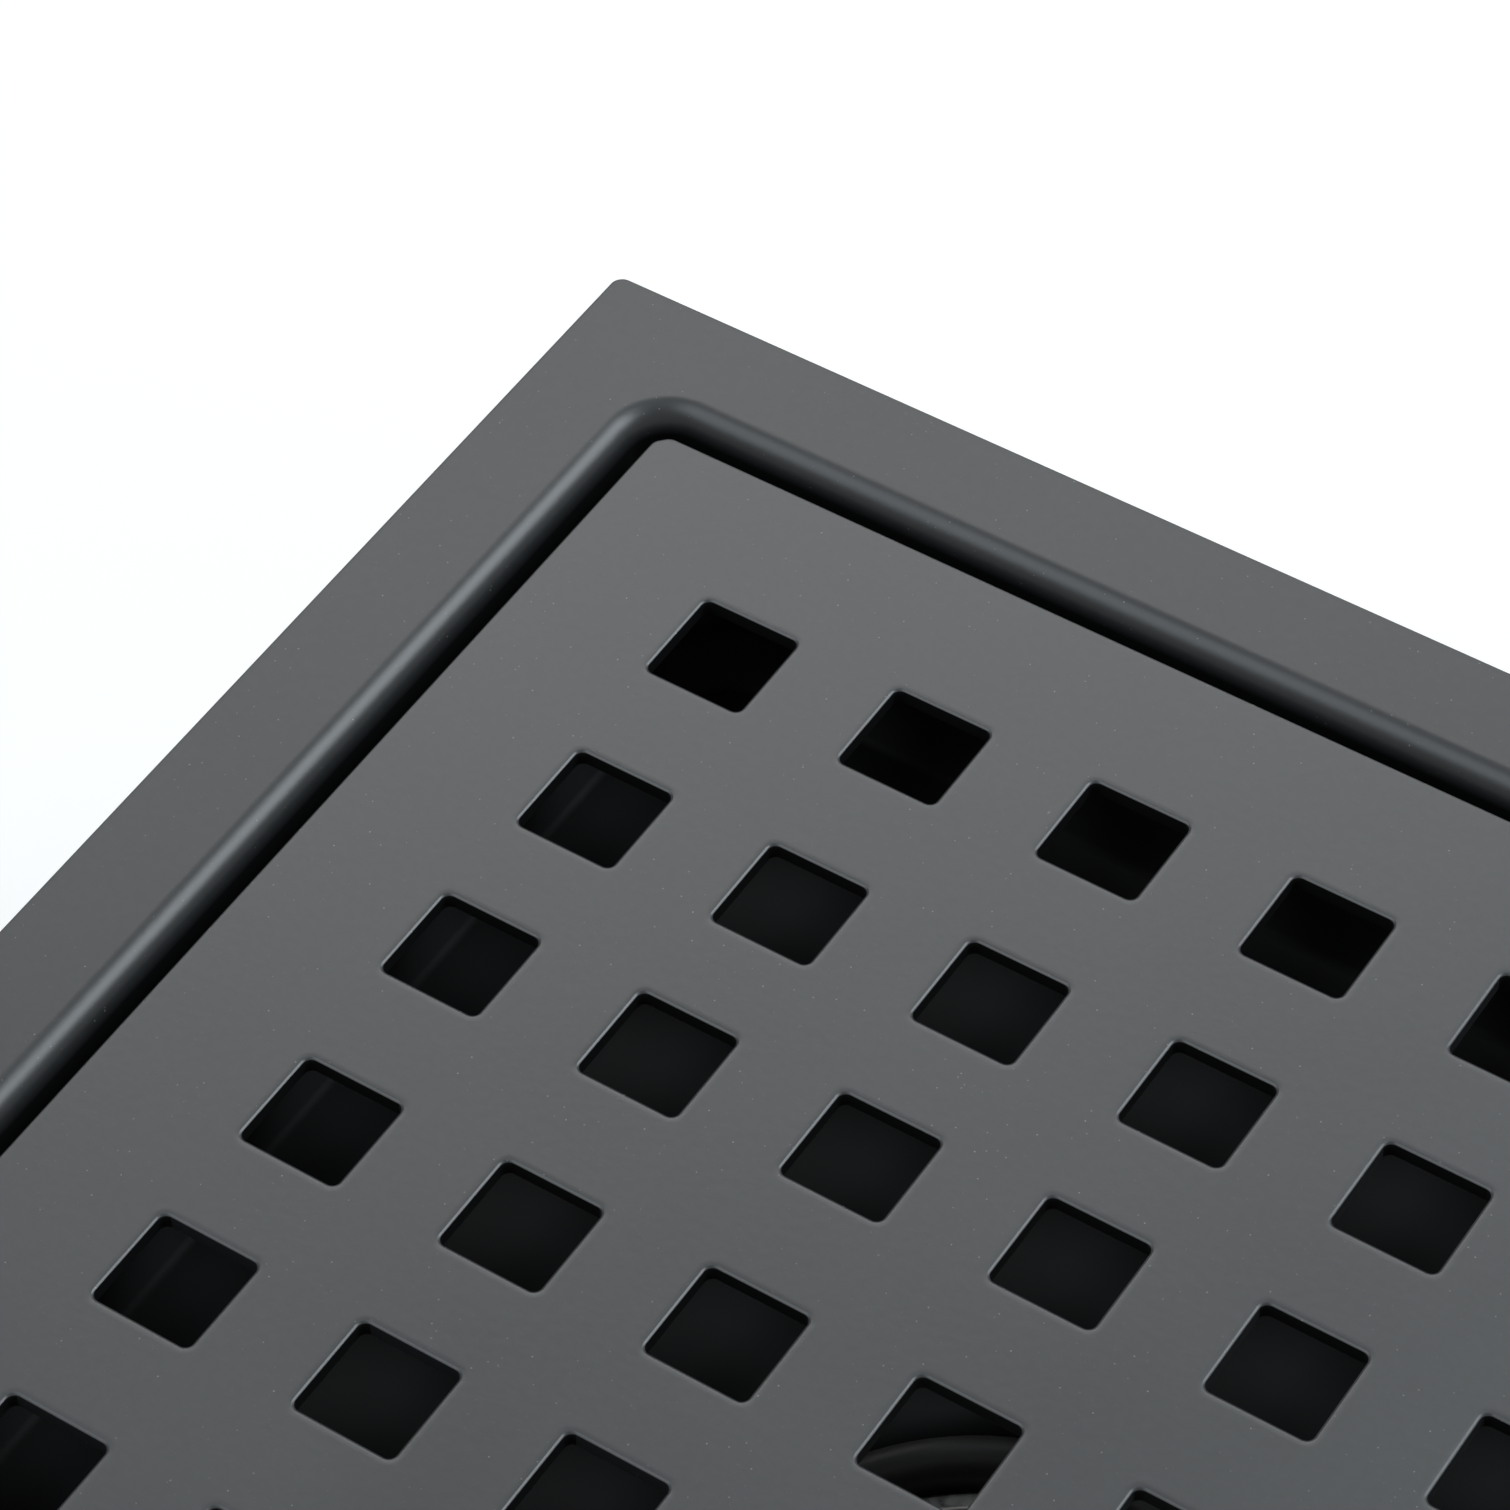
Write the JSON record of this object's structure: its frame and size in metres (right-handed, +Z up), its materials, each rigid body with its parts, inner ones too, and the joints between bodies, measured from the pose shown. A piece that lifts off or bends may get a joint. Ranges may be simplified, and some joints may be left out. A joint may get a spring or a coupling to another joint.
{
  "type": "square shower drain",
  "caption": "Black square shower drain: pressed tray, punched lift-out grate, round outlet tube and a pull-out odour trap with a hair basket and a spring-shut valve.",
  "frame": {"origin": "centre of the outlet tube's lower end, which the drain stands on", "axes": "+Z up out of the floor through the grate; X and Y along the sides of the square rim; the grate's legs stand along the two sides that face +Y and -Y"},
  "size_m": [0.15, 0.15, 0.06],
  "materials": {
    "coating": "matt black coating on stainless steel, fine grained",
    "moulding": "black moulded plastic",
    "silicone": "milky silicone",
    "steel": "bare stainless steel"
  },
  "bodies": {
    "drain": {"drain_body": "coating", "outlet_tube": "coating", "grate": "coating", "grate_legs": "coating", "trap_housing": "moulding", "housing_seal": "silicone", "hair_basket": "steel", "valve_spring": "steel"},
    "valve": {"valve_disc": "moulding", "valve_gasket": "silicone", "valve_stem": "steel", "spring_cap": "moulding", "stem_clip": "steel"}
  },
  "joints": [
    {"name": "valve_drop", "type": "slide", "parent": "drain", "child": "valve", "axis": [0, 0, -1], "range_m": [0, 0.006], "stiffness_N_per_m": 15, "springref_m": -0.007, "deforming": ["valve_spring"]}
  ]
}
